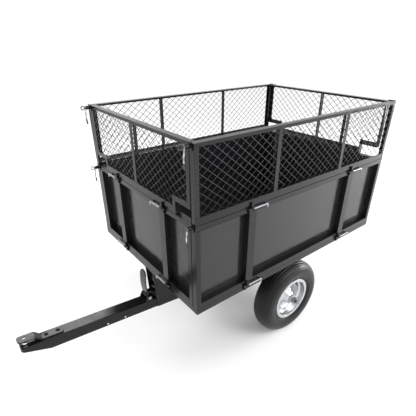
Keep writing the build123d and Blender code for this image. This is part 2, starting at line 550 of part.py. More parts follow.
# ---- bed ---------------------------------------------------------------------------------------
def bed():
    """Bed frame with its fixed hinge eyes, floor, hinge pins, side plates, cover and striker bar."""
    ring = block(-HALF_LENGTH, HALF_LENGTH, -HALF_WIDTH, HALF_WIDTH, BED_BASE, DECK)
    ring -= block(-HALF_LENGTH + RAIL_DEPTH, HALF_LENGTH - RAIL_DEPTH, -HALF_WIDTH + RAIL_DEPTH,
                  HALF_WIDTH - RAIL_DEPTH, BED_BASE - 1, DECK + 1)
    ring -= block(-HALF_LENGTH + WALL, HALF_LENGTH - WALL, -HALF_WIDTH + WALL, HALF_WIDTH - WALL,
                  BED_BASE + WALL, DECK - WALL)
    inner_x, inner_y = HALF_LENGTH - RAIL_DEPTH, HALF_WIDTH - RAIL_DEPTH
    members = []
    for way in (-1, 1):
        x0, x1 = sorted((way * inner_x, way * HALF_LENGTH))
        members.append(ring & block(x0, x1, -HALF_WIDTH, HALF_WIDTH, BED_BASE, DECK))
        y0, y1 = sorted((way * inner_y, way * HALF_WIDTH))
        members.append(ring & block(-inner_x, inner_x, y0, y1, BED_BASE, DECK))
    cross = [share * HALF_LENGTH for share in (-0.68, -0.34, 0.0, 0.34, 0.68)]
    for x in cross:
        member = block(x - 20, x + 20, -inner_y, inner_y, BED_BASE, DECK)
        members.append(member - block(x - 20 + WALL, x + 20 - WALL, -HALF_WIDTH, HALF_WIDTH,
                                      BED_BASE - 1, DECK - WALL))
    for way in (-1, 1):
        y = way * (CHEEK_Y + CHEEK / 2)
        breaks = [CHEEK_BACK - 20] + [x + side for x in cross if x > CHEEK_BACK for side in (-20, 20)] + [inner_x]
        for x0, x1 in zip(breaks[::2], breaks[1::2]):
            members.append(block(x0, x1, y - 10, y + 10, BED_BASE, DECK))
    for side in SIDES.values():
        for fixed, _, _ in stations(side):
            leg = (BED_BASE + 6, DECK - 0.2)
            members.append(on_side(side, bored(eye(fixed, FOOT_HINGE, leg), FOOT_HINGE)))
    save(Compound(children=members), "bed_frame")

    pins = [on_side(side, pin) for side in SIDES.values() for pin in hinge_pins(side, FOOT_HINGE)]
    save(Compound(children=pins), "bed_hinge_pins")

    inside_x = HALF_LENGTH - PANEL_DEPTH - CORNER_GAP
    inside_y = HALF_WIDTH - PANEL_DEPTH - CORNER_GAP
    save(block(-inside_x, inside_x, -inside_y, inside_y, DECK, DECK + SHEET), "bed_floor")

    bush_bore = AXLE_TUBE + BUSH_FIT
    bush = bush_bore + BUSH
    nose = CHEEK_FRONT - 14
    outline = [(CHEEK_BACK, BED_BASE), (AXLE_X - bush - 8, AXLE_Z), (AXLE_X - bush, AXLE_Z - bush),
               (AXLE_X + bush, AXLE_Z - bush - 4), (AXLE_X + 90, tongue_under(AXLE_X + 90)),
               (nose, tongue_under(nose)), (CHEEK_FRONT, BED_BASE)]
    cheeks = []
    for way in (-1, 1):
        y0, y1 = sorted((way * CHEEK_Y, way * (CHEEK_Y + CHEEK)))
        cheek = plate_xz(outline, y0, y1)
        cheeks.append(cheek - bar_y(AXLE_X, y0 - 1, y1 + 1, AXLE_Z, bush))
    save(Compound(children=cheeks), "bed_side_plates")
    bushes = []
    for way in (-1, 1):
        a, b = CHEEK_Y, CHEEK_Y + CHEEK + 10
        bushes.append(turned([(bush_bore, a), (bush, a), (bush, a + CHEEK), (bush + 6, a + CHEEK),
                              (bush + 6, b), (bush_bore, b)], way))
    save(Compound(children=bushes), "pivot_bushes")

    lip = BED_BASE - COVER_DROP
    cover = block(CHEEK_FRONT - 24, CHEEK_FRONT - 24 + CHEEK, -CHEEK_Y, CHEEK_Y, lip, BED_BASE)
    cover += block(CHEEK_FRONT - 24 - RAIL, CHEEK_FRONT - 24, -CHEEK_Y, CHEEK_Y, lip, lip + CHEEK)
    save(cover, "bed_cover_plate")
    striker_z = tongue_top(STRIKER_X) + STRIKER_RISE
    save(bar_y(STRIKER_X, -CHEEK_Y, CHEEK_Y, striker_z, STRIKER_RADIUS), "latch_striker_bar")


# ---- latch -------------------------------------------------------------------------------------
def latch():
    """Bed rest, lever bracket, pivot bolts and the sprung dump lever with its nose."""
    deep = TONGUE_DEPTH / 2
    striker_z = tongue_top(STRIKER_X) + STRIKER_RISE
    seat = tongue_top(STRIKER_X + 14)
    rest = plate_xz([(STRIKER_X - 14, tongue_top(STRIKER_X - 14)), (STRIKER_X + 14, seat),
                     (STRIKER_X + 9, striker_z - STRIKER_RADIUS - PAD_GAP),
                     (STRIKER_X - 9, striker_z - STRIKER_RADIUS - PAD_GAP)], -20, 20)
    save(rest, "bed_rest_pad")

    pivot_z = tongue_top(LEVER_X) + LEVER_PIVOT_RISE
    ears = []
    inner = LEVER_WIDTH / 2 + 1
    for way in (-1, 1):
        y0, y1 = sorted((way * inner, way * (inner + BRACKET)))
        ears.append(plate_xz([(LEVER_X - 16, tongue_top(LEVER_X - 16)), (LEVER_X + 22, tongue_top(LEVER_X + 22)),
                              (LEVER_X + 10, pivot_z + 9), (LEVER_X - 10, pivot_z + 9)], y0, y1)
                    - bar_y(LEVER_X, y0 - 1, y1 + 1, pivot_z, LEVER_PIVOT))
    save(Compound(children=ears), "lever_bracket")
    span = inner + BRACKET
    bolt = bar_y(LEVER_X, -span - 4, span, pivot_z, LEVER_PIVOT)
    bolt += bar_y(LEVER_X, -span - 4, -span, pivot_z, LEVER_PIVOT + 3)
    bolt += bar_y(LEVER_X, span, span + 5, pivot_z, LEVER_PIVOT + 3)
    save(bolt, "lever_bolt")

    top = pivot_z - LEVER_PIVOT_RISE + LEVER_HEIGHT
    foot = pivot_z - 6
    bow = LEVER_X + LEVER_BOW
    half = LEVER / 2
    middle = (top + foot) / 2
    front = ThreePointArc((LEVER_X + half, 0, foot), (bow + half, 0, middle), (LEVER_X + 4 + half, 0, top))
    back = ThreePointArc((LEVER_X + 4 - half, 0, top), (bow - half, 0, middle), (LEVER_X - half, 0, foot))
    blade = make_face(front + Line(front @ 1, back @ 0) + back + Line(back @ 1, front @ 0))
    lever = extrude(blade, amount=LEVER_WIDTH / 2, both=True, dir=(0, 1, 0))
    lever = fillet(lever.edges().filter_by(Axis.X, tolerance=20).sort_by(Axis.Z)[-2:], LEVER_WIDTH / 2 - 1.5)
    eye_z = pivot_z
    lever += bar_y(LEVER_X, -LEVER_WIDTH / 2, LEVER_WIDTH / 2, eye_z, LEVER_PIVOT + 5)
    tip = STRIKER_X + STRIKER_RADIUS + 1.5
    lever += block(tip, LEVER_X + 4, -12, 12, striker_z - 3, striker_z + 9)
    lever -= bar_y(LEVER_X, -LEVER_WIDTH, LEVER_WIDTH, eye_z, LEVER_PIVOT + HINGE_FIT)
    save(lever, "dump_lever")


for name, side in SIDES.items():
    lower_panel(name, side)
    mesh_panel(name, side)
for name in ("front", "rear"):
    for hand, way in (("left", -1 if name == "front" else 1), ("right", 1 if name == "front" else -1)):
        for level, top in (("lower", PANEL_TOP), ("upper", MESH_TOP)):
            save(corner_pin(SIDES[name], way, top - LOCK_DROP), f"{name}_{hand}_{level}_pin")
            if name == "front" or level == "lower":
                lanyard(SIDES[name], way, top - LOCK_DROP, f"{name}_{hand}_{level}_lanyard")
for name, way in (("left", 1), ("right", -1)):
    wheel(name, way)
axle()
tongue()
bed()
latch()
print(f"middle of the cart at x = {MIDDLE_X:.3f}, slope {SLOPE:.4f}")
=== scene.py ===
"""Looks of a two-wheeled tow behind tipping cart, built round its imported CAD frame."""

import json
import logging
import math
import random
from dataclasses import dataclass, field
from enum import Enum
from typing import Any, Optional, Sequence

import bmesh
import bpy
from mathutils import Matrix, Vector

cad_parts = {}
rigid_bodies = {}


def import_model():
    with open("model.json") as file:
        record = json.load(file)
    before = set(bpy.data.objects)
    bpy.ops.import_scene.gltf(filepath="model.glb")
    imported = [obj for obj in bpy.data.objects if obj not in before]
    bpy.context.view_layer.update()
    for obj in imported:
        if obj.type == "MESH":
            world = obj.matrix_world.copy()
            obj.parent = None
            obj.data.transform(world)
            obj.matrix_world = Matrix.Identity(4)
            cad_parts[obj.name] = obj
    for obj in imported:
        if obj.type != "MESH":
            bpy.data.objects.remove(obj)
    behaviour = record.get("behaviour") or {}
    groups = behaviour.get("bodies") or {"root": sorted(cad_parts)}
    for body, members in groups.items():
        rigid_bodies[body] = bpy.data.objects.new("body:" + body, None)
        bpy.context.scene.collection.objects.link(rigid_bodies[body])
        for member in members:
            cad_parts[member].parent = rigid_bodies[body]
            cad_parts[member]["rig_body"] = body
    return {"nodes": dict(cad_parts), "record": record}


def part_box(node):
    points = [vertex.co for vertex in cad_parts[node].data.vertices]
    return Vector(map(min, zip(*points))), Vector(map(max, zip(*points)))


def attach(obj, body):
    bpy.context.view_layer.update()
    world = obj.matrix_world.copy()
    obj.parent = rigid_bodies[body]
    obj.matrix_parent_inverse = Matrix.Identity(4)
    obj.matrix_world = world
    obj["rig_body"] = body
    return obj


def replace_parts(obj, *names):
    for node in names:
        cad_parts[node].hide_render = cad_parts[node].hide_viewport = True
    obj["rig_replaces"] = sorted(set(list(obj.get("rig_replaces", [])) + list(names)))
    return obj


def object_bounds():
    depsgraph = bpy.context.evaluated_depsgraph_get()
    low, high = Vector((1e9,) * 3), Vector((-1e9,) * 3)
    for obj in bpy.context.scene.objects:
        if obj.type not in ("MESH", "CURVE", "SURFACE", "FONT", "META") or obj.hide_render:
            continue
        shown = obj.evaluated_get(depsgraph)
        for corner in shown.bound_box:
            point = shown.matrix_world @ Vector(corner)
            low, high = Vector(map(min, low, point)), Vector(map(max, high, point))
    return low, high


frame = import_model()
CAD_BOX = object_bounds()
LOG = logging.getLogger("tow_cart")
MM = 0.001


def linear(colour: str) -> tuple[float, float, float, float]:
    """Turn an sRGB hex colour into linear RGBA.

    Args:
        colour: the colour, such as "#1B1B1D".

    Returns:
        Red, green, blue and alpha, linear.
    """
    channels = [int(colour[i:i + 2], 16) / 255 for i in (1, 3, 5)]
    red, green, blue = (c / 12.92 if c <= 0.04045 else ((c + 0.055) / 1.055) ** 2.4 for c in channels)
    return red, green, blue, 1.0


def repeats(spacing_mm: float) -> float:
    """Pattern scale, in repeats to the metre, of a real spacing in millimetres."""
    return 1.0 / (spacing_mm * MM)


def add_node(tree: bpy.types.NodeTree, kind: str, inputs: Optional[dict[Any, Any]] = None,
             **settings: Any) -> bpy.types.Node:
    """Add one node with its settings, values and links.

    Args:
        tree: the node tree that it goes in.
        kind: the node's type name.
        inputs: by input name or number, a value or the output socket that feeds it.
        **settings: the node's own properties.

    Returns:
        The new node.
    """
    node = tree.nodes.new(kind)
    for key, value in settings.items():
        setattr(node, key, value)
    for key, value in (inputs or {}).items():
        if isinstance(value, bpy.types.NodeSocket):
            tree.links.new(value, node.inputs[key])
        else:
            node.inputs[key].default_value = value
    return node


def new_material(name: str, **values: Any) -> tuple[bpy.types.Material, bpy.types.NodeTree, bpy.types.Node]:
    """Start a material from a Principled shader with plain values on its own sockets.

    Args:
        name: the finish's name.
        **values: the shader's inputs, with _ for each space.

    Returns:
        The material, its node tree and its shader.
    """
    material = bpy.data.materials.new(name)
    material.use_nodes = True
    tree = material.node_tree
    shader = tree.nodes["Principled BSDF"]
    for key, value in values.items():
        shader.inputs[key.replace("_", " ")].default_value = value
    return material, tree, shader


# ---- finishes ----------------------------------------------------------------------------------
@dataclass(frozen=True)
class PowderCoat:
    """Polyester powder baked on steel: deep colour, slight orange peel, paler on edges as wear and as a
    painted highlight.
    """

    slot: str
    colour: str = "#0B0B0C"
    handled: str = "#151517"
    # worn tone of sharp edges: real wear, and also a painted edge highlight
    worn_edge_and_highlight: str = "#3A3B3D"
    gloss: float = 0.2
    ior: float = 1.34
    bloom_mm: float = 160       # slow drift between the two tones
    smear_mm: float = 45        # handling marks in the gloss
    chip_mm: float = 9          # breaks in the thin powder along edges
    highlit_worn_edge: tuple[float, float] = (0.53, 0.64)   # pointiness where sharp edges start and end turning to the worn tone, worn powder and a painted edge highlight
    worn_highlight_share: float = 0.55    # how far a sharp edge goes towards its worn tone, which stands for wear and a painted highlight
    peel_mm: float = 3.0        # real peel is about 2 mm, drawn a little coarser so that it shows
    peel_depth_mm: float = 0.025

    def material(self, name: str) -> bpy.types.Material:
        """Build the finish's material."""
        material, tree, shader = new_material(name, IOR=self.ior)
        place = add_node(tree, "ShaderNodeTexCoord").outputs["Object"]
        bloom = add_node(tree, "ShaderNodeTexNoise", {"Vector": place, "Scale": repeats(self.bloom_mm),
                                                      "Detail": 5.0, "Roughness": 0.62})
        tone = add_node(tree, "ShaderNodeMix", {0: bloom.outputs["Fac"], 6: linear(self.colour),
                                                7: linear(self.handled)}, data_type="RGBA")
        edge = add_node(tree, "ShaderNodeNewGeometry").outputs["Pointiness"]
        chips = add_node(tree, "ShaderNodeTexNoise", {"Vector": place, "Scale": repeats(self.chip_mm),
                                                      "Detail": 3.0})
        # Sharp edges go towards the worn tone, broken by chips: real wear, and a painted highlight along the
        # edges.
        rim = add_node(tree, "ShaderNodeMapRange", {"Value": edge, "From Min": self.highlit_worn_edge[0],
                                                    "From Max": self.highlit_worn_edge[1], "To Min": 0.0,
                                                    "To Max": self.worn_highlight_share})
        worn_highlight_mask = add_node(tree, "ShaderNodeMath", {0: rim.outputs["Result"], 1: chips.outputs["Fac"]},
                        operation="MULTIPLY")
        colour = add_node(tree, "ShaderNodeMix", {0: worn_highlight_mask.outputs[0], 6: tone.outputs[2],
                                                  7: linear(self.worn_edge_and_highlight)}, data_type="RGBA")
        tree.links.new(colour.outputs[2], shader.inputs["Base Color"])
        smears = add_node(tree, "ShaderNodeTexNoise", {"Vector": place, "Scale": repeats(self.smear_mm),
                                                       "Detail": 4.0})
        gloss = add_node(tree, "ShaderNodeMapRange", {"Value": smears.outputs["Fac"], "From Min": 0.3,
                                                      "From Max": 0.7, "To Min": self.gloss - 0.04,
                                                      "To Max": self.gloss + 0.09})
        tree.links.new(gloss.outputs["Result"], shader.inputs["Roughness"])
        peel = add_node(tree, "ShaderNodeTexNoise", {"Vector": place, "Scale": repeats(self.peel_mm),
                                                     "Detail": 1.5})
        bump = add_node(tree, "ShaderNodeBump", {"Height": peel.outputs["Fac"], "Strength": 0.5,
                                                 "Distance": self.peel_depth_mm * MM})
        tree.links.new(bump.outputs["Normal"], shader.inputs["Normal"])
        return material


@dataclass(frozen=True)
class ZincPlate:
    """Bright zinc on turned steel: a soft metallic shine with a faint crystal mottle."""

    slot: str
    colour: str = "#A6A9AD"
    dull: str = "#75787D"
    roughness: float = 0.3
    crystal_mm: float = 2.5
    stain_mm: float = 14
    turning_mm: float = 0.9     # fine lines that the tool left under the plating

    def material(self, name: str) -> bpy.types.Material:
        """Build the finish's material."""
        material, tree, shader = new_material(name, Metallic=1.0)
        place = add_node(tree, "ShaderNodeTexCoord").outputs["Object"]
        crystals = add_node(tree, "ShaderNodeTexVoronoi", {"Vector": place,
                                                           "Scale": repeats(self.crystal_mm)})
        stains = add_node(tree, "ShaderNodeTexNoise", {"Vector": place, "Scale": repeats(self.stain_mm),
                                                       "Detail": 4.0})
        mottle = add_node(tree, "ShaderNodeMath", {0: crystals.outputs["Distance"],
                                                   1: stains.outputs["Fac"]}, operation="MULTIPLY")
        colour = add_node(tree, "ShaderNodeMix", {0: mottle.outputs[0], 6: linear(self.colour),
                                                  7: linear(self.dull)}, data_type="RGBA")
        tree.links.new(colour.outputs[2], shader.inputs["Base Color"])
        rough = add_node(tree, "ShaderNodeMapRange", {"Value": stains.outputs["Fac"],
                                                      "To Min": self.roughness - 0.08,
                                                      "To Max": self.roughness + 0.14})
        tree.links.new(rough.outputs["Result"], shader.inputs["Roughness"])
        lines = add_node(tree, "ShaderNodeTexNoise", {"Vector": place, "Scale": repeats(self.turning_mm),
                                                      "Detail": 2.0})
        bump = add_node(tree, "ShaderNodeBump", {"Height": lines.outputs["Fac"], "Strength": 0.25,
                                                 "Distance": 0.02 * MM})
        tree.links.new(bump.outputs["Normal"], shader.inputs["Normal"])
        return material


@dataclass(frozen=True)
class SilverEnamel:
    """Aluminium-flake enamel sprayed on a pressed steel rim: bright, satin, a little dusty in the dish."""

    slot: str
    colour: str = "#DCDEE0"
    dusty: str = "#A2A4A6"
    roughness: float = 0.2
    dust_mm: float = 35
    flake_mm: float = 0.8       # real flake is far finer, drawn as coarse as it needs to show

    def material(self, name: str) -> bpy.types.Material:
        """Build the finish's material."""
        material, tree, shader = new_material(name, Metallic=1.0, Coat_Weight=0.3, Coat_Roughness=0.08)
        place = add_node(tree, "ShaderNodeTexCoord").outputs["Object"]
        dust = add_node(tree, "ShaderNodeTexNoise", {"Vector": place, "Scale": repeats(self.dust_mm),
                                                     "Detail": 5.0})
        colour = add_node(tree, "ShaderNodeMix", {0: dust.outputs["Fac"], 6: linear(self.colour),
                                                  7: linear(self.dusty)}, data_type="RGBA")
        tree.links.new(colour.outputs[2], shader.inputs["Base Color"])
        flake = add_node(tree, "ShaderNodeTexVoronoi", {"Vector": place, "Scale": repeats(self.flake_mm)})
        rough = add_node(tree, "ShaderNodeMapRange", {"Value": flake.outputs["Distance"],
                                                      "To Min": self.roughness - 0.04,
                                                      "To Max": self.roughness + 0.1})
        tree.links.new(rough.outputs["Result"], shader.inputs["Roughness"])
        bump = add_node(tree, "ShaderNodeBump", {"Height": flake.outputs["Distance"], "Strength": 0.12,
                                                 "Distance": 0.03 * MM})
        tree.links.new(bump.outputs["Normal"], shader.inputs["Normal"])
        return material


@dataclass(frozen=True)
class TyreRubber:
    """Carbon-black rubber from a polished mould: a soft sheen, finely pored, greyer where it bloomed."""

    slot: str
    colour: str = "#070707"
    bloomed: str = "#0F0E0E"
    roughness: float = 0.33
    bloom_mm: float = 60
    pore_mm: float = 1.4

    def material(self, name: str) -> bpy.types.Material:
        """Build the finish's material."""
        material, tree, shader = new_material(name, IOR=1.34, Sheen_Weight=0.02, Sheen_Roughness=0.5)
        place = add_node(tree, "ShaderNodeTexCoord").outputs["Object"]
        bloom = add_node(tree, "ShaderNodeTexNoise", {"Vector": place, "Scale": repeats(self.bloom_mm),
                                                      "Detail": 6.0, "Roughness": 0.6})
        colour = add_node(tree, "ShaderNodeMix", {0: bloom.outputs["Fac"], 6: linear(self.colour),
                                                  7: linear(self.bloomed)}, data_type="RGBA")
        tree.links.new(colour.outputs[2], shader.inputs["Base Color"])
        rough = add_node(tree, "ShaderNodeMapRange", {"Value": bloom.outputs["Fac"], "From Min": 0.3,
                                                      "From Max": 0.7, "To Min": self.roughness - 0.05,
                                                      "To Max": self.roughness + 0.12})
        tree.links.new(rough.outputs["Result"], shader.inputs["Roughness"])
        pores = add_node(tree, "ShaderNodeTexNoise", {"Vector": place, "Scale": repeats(self.pore_mm),
                                                      "Detail": 3.0})
        bump = add_node(tree, "ShaderNodeBump", {"Height": pores.outputs["Fac"], "Strength": 0.35,
                                                 "Distance": 0.06 * MM})
        tree.links.new(bump.outputs["Normal"], shader.inputs["Normal"])
        return material


@dataclass(frozen=True)
class VinylCable:
    """Steel strand under clear grey vinyl: the strand's lay shows as slanting bands below a gloss."""

    slot: str
    jacket: str = "#C2C4C6"
    strand: str = "#85878A"
    lay_mm: float = 3.2 * math.tau      # 20.1 mm, about ten times a real strand's lay
    wave_turn: float = 20.0             # radians a wave texture turns in a unit, at a scale of 1

    def material(self, name: str) -> bpy.types.Material:
        """Build the finish's material."""
        material, tree, shader = new_material(name, Roughness=0.22, IOR=1.53, Coat_Weight=0.6,
                                              Coat_Roughness=0.06)
        place = add_node(tree, "ShaderNodeTexCoord").outputs["Object"]
        turned = add_node(tree, "ShaderNodeMapping", {"Vector": place, "Rotation": (0.5, 0.35, 0.0)})
        scale = math.tau / self.wave_turn * repeats(self.lay_mm)
        bands = add_node(tree, "ShaderNodeTexWave", {"Vector": turned.outputs["Vector"], "Scale": scale,
                                                     "Distortion": 0.4},
                         bands_direction="Z")
        colour = add_node(tree, "ShaderNodeMix", {0: bands.outputs["Fac"], 6: linear(self.jacket),
                                                  7: linear(self.strand)}, data_type="RGBA")
        tree.links.new(colour.outputs[2], shader.inputs["Base Color"])
        bump = add_node(tree, "ShaderNodeBump", {"Height": bands.outputs["Fac"], "Strength": 0.3,
                                                 "Distance": 0.15 * MM})
        tree.links.new(bump.outputs["Normal"], shader.inputs["Normal"])
        return material


@dataclass(frozen=True)
class MouldedNylon:
    """Black nylon or moulded rubber from a spark-eroded mould: an even fine grain and no shine."""

    slot: str
    colour: str = "#1A1A1B"
    scuffed: str = "#2F2F31"
    roughness: float = 0.55
    scuff_mm: float = 22
    grain_mm: float = 0.9

    def material(self, name: str) -> bpy.types.Material:
        """Build the finish's material."""
        material, tree, shader = new_material(name, IOR=1.5)
        place = add_node(tree, "ShaderNodeTexCoord").outputs["Object"]
        scuffs = add_node(tree, "ShaderNodeTexNoise", {"Vector": place, "Scale": repeats(self.scuff_mm),
                                                       "Detail": 5.0})
        colour = add_node(tree, "ShaderNodeMix", {0: scuffs.outputs["Fac"], 6: linear(self.colour),
                                                  7: linear(self.scuffed)}, data_type="RGBA")
        tree.links.new(colour.outputs[2], shader.inputs["Base Color"])
        rough = add_node(tree, "ShaderNodeMapRange", {"Value": scuffs.outputs["Fac"],
                                                      "To Min": self.roughness - 0.08,
                                                      "To Max": self.roughness + 0.12})
        tree.links.new(rough.outputs["Result"], shader.inputs["Roughness"])
        grain = add_node(tree, "ShaderNodeTexNoise", {"Vector": place, "Scale": repeats(self.grain_mm)})
        bump = add_node(tree, "ShaderNodeBump", {"Height": grain.outputs["Fac"], "Strength": 0.4,
                                                 "Distance": 0.05 * MM})
        tree.links.new(bump.outputs["Normal"], shader.inputs["Normal"])
        return material


class Finish(Enum):
    """The cart's finishes, each for one material slot in the record."""

    GLOSS_BLACK = PowderCoat("powder_coat")
    PANEL_BLACK = PowderCoat("skin", colour="#151518", handled="#1C1C1F", gloss=0.17, ior=1.45)
    # The mesh's light worn tone turns its thin strands' edges pale grey: a painted highlight along with
    # wear.
    MESH_BLACK = PowderCoat("mesh", colour="#141416", handled="#242427", worn_edge_and_highlight="#7A7B7E", gloss=0.2, ior=1.55)
    FLOOR_BLACK = PowderCoat("floor", colour="#080809", handled="#101012", gloss=0.32)
    BRIGHT_ZINC = ZincPlate("zinc")
    GROUND_STEEL = ZincPlate("bearing", colour="#A7A9AC", dull="#77797D", roughness=0.22, crystal_mm=1.2)
    PIN_BLACK = ZincPlate("lock_pin", colour="#56575A", dull="#2C2D2F", roughness=0.22)
    RIM_SILVER = SilverEnamel("rim")
    TYRE_BLACK = TyreRubber("tyre")
    PAD_RUBBER = MouldedNylon("rubber", roughness=0.62)
    BUSH_NYLON = MouldedNylon("bush")
    CABLE_GREY = VinylCable("lanyard")


# ---- workshop ----------------------------------------------------------------------------------
@dataclass
class Workshop:
    """Makes finished pieces out of bmeshes and hangs them on the cart's bodies."""

    materials: dict[Finish, bpy.types.Material] = field(default_factory=dict)

    def material(self, finish: Finish) -> bpy.types.Material:
        """The finish's one material, made the first time it is asked for."""
        if finish not in self.materials:
            self.materials[finish] = finish.value.material(finish.name.lower())
        return self.materials[finish]

    def dress(self, piece: bpy.types.Object, finish: Finish, body: str,
              stands_for: Sequence[str] = ()) -> bpy.types.Object:
        """Give a piece its material, slot and body.

        Args:
            piece: the object, already in place.
            finish: its finish.
            body: the body that it rides on.
            stands_for: the CAD nodes that it replaces.

        Returns:
            The piece.
        """
        piece.data.materials.clear()
        piece.data.materials.append(self.material(finish))
        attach(piece, body)
        if stands_for:
            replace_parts(piece, *stands_for)
        LOG.info("%s rides on %s in %s", piece.name, body, finish.name.lower())
        return piece

    def piece(self, name: str, shape: bmesh.types.BMesh, finish: Finish, body: str,
              stands_for: Sequence[str] = (), edge_mm: float = 0.0,
              smooth_deg: float = 38.0) -> bpy.types.Object:
        """Make a bmesh a finished piece.

        Args:
            name: the piece's name.
            shape: its mesh, which is used up.
            finish: its finish.
            body: the body that it rides on.
            stands_for: the CAD nodes that it replaces.
            edge_mm: width of the rounding on its sharp edges, or 0 for none.
            smooth_deg: edges flatter than this are shaded smooth.

        Returns:
            The piece.
        """
        mesh = bpy.data.meshes.new(name)
        shape.to_mesh(mesh)
        shape.free()
        mesh.shade_smooth()
        mesh.set_sharp_from_angle(angle=math.radians(smooth_deg))
        piece = bpy.data.objects.new(name, mesh)
        bpy.context.scene.collection.objects.link(piece)
        if edge_mm:
            rounding = piece.modifiers.new("rounded_edges", "BEVEL")
            rounding.width = edge_mm * MM
            rounding.segments = 2
            rounding.limit_method = "ANGLE"
            rounding.angle_limit = math.radians(smooth_deg)
            rounding.harden_normals = True
        return self.dress(piece, finish, body, stands_for)


def body_of(node: str) -> str:
    """The body that a CAD node rides on."""
    return frame["nodes"][node]["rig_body"]


def merged_copy(node: str) -> bmesh.types.BMesh:
    """A CAD node's mesh as a bmesh of whole faces, with its doubles merged."""
    shape = bmesh.new()
    shape.from_mesh(frame["nodes"][node].data)
    bmesh.ops.remove_doubles(shape, verts=shape.verts, dist=0.01 * MM)
    bmesh.ops.dissolve_limit(shape, angle_limit=math.radians(0.6), verts=shape.verts, edges=shape.edges)
    return shape


def spun(profile: Sequence[tuple[float, float]], centre: Vector, steps: int,
         closed: bool = True) -> bmesh.types.BMesh:
    """Turn a profile about the line along Y through a centre.

    Args:
        profile: (distance from the line, place along it), in metres. An open one starts and ends on
            the line.
        centre: a point on the line.
        steps: faces round the circle.
        closed: whether the profile's last point joins its first.

    Returns:
        The turned shape, with its normals outwards.
    """
    shape = bmesh.new()
    points = [shape.verts.new(centre + Vector((radius, along, 0))) for radius, along in profile]
    pairs = list(zip(points, points[1:] + points[:1] if closed else points[1:]))
    edges = [shape.edges.new(pair) for pair in pairs]
    bmesh.ops.spin(shape, geom=points + edges, axis=(0, 1, 0), cent=centre, angle=math.tau, steps=steps,
                   use_merge=True)
    bmesh.ops.remove_doubles(shape, verts=shape.verts, dist=0.005 * MM)
    bmesh.ops.recalc_face_normals(shape, faces=shape.faces)
    return shape


def ring_shape(centre: Vector, radius: float, wire: float, axis: Vector, steps: int = 40,
               sides: int = 12) -> bmesh.types.BMesh:
    """A round ring of round wire.

    Args:
        centre: the ring's middle.
        radius: from the middle to the wire's centre.
        wire: the wire's radius.
        axis: the ring's own axis.
        steps: faces round the ring.
        sides: faces round the wire.

    Returns:
        The ring.
    """
    shape = bmesh.new()
    axis = axis.normalized()
    out = axis.orthogonal().normalized()
    turn = Matrix((out, axis, out.cross(axis))).transposed().to_4x4()
    made = bmesh.ops.create_circle(shape, cap_ends=False, radius=wire, segments=sides,
                                   matrix=Matrix.Translation(centre + out * radius) @ turn)
    bmesh.ops.spin(shape, geom=made["verts"] + shape.edges[:], axis=axis, cent=centre, angle=math.tau,
                   steps=steps, use_merge=True)
    bmesh.ops.remove_doubles(shape, verts=shape.verts, dist=0.005 * MM)
    bmesh.ops.recalc_face_normals(shape, faces=shape.faces)
    return shape


def rod_into(shape: bmesh.types.BMesh, start: Vector, end: Vector, radius: float, sides: int = 28) -> None:
    """Add a capped round rod between two points to a bmesh."""
    way = end - start
    turn = way.to_track_quat("Z", "Y").to_matrix().to_4x4()
    bmesh.ops.create_cone(shape, cap_ends=True, segments=sides, radius1=radius, radius2=radius,
                          depth=way.length, matrix=Matrix.Translation((start + end) / 2) @ turn)


# ---- steelwork ---------------------------------------------------------------------------------
@dataclass
class Steelwork:
    """Folded and welded steel in the CAD's shape, with its edges rounded as a folder leaves them."""

    shop: Workshop
    edge_mm: float = 0.9
    finishes: dict[str, Finish] = field(default_factory=lambda: {f.value.slot: f for f in Finish})

    def finish_of(self, node: str) -> Finish:
        """The finish that the record's slot for a node asks for."""
        slots = {part["node"]: part["material_slot"] for part in frame["record"]["subparts"]}
        return self.finishes[slots[node]]

    def build(self, skipped: set[str]) -> None:
        """Finish every CAD node that no other class has made again.

        Args:
            skipped: the nodes that other classes stand for.
        """
        for node in sorted(set(frame["nodes"]) - skipped):
            self.shop.piece(f"{node}_finished", merged_copy(node), self.finish_of(node), body_of(node),
                            (node,), edge_mm=self.edge_mm)


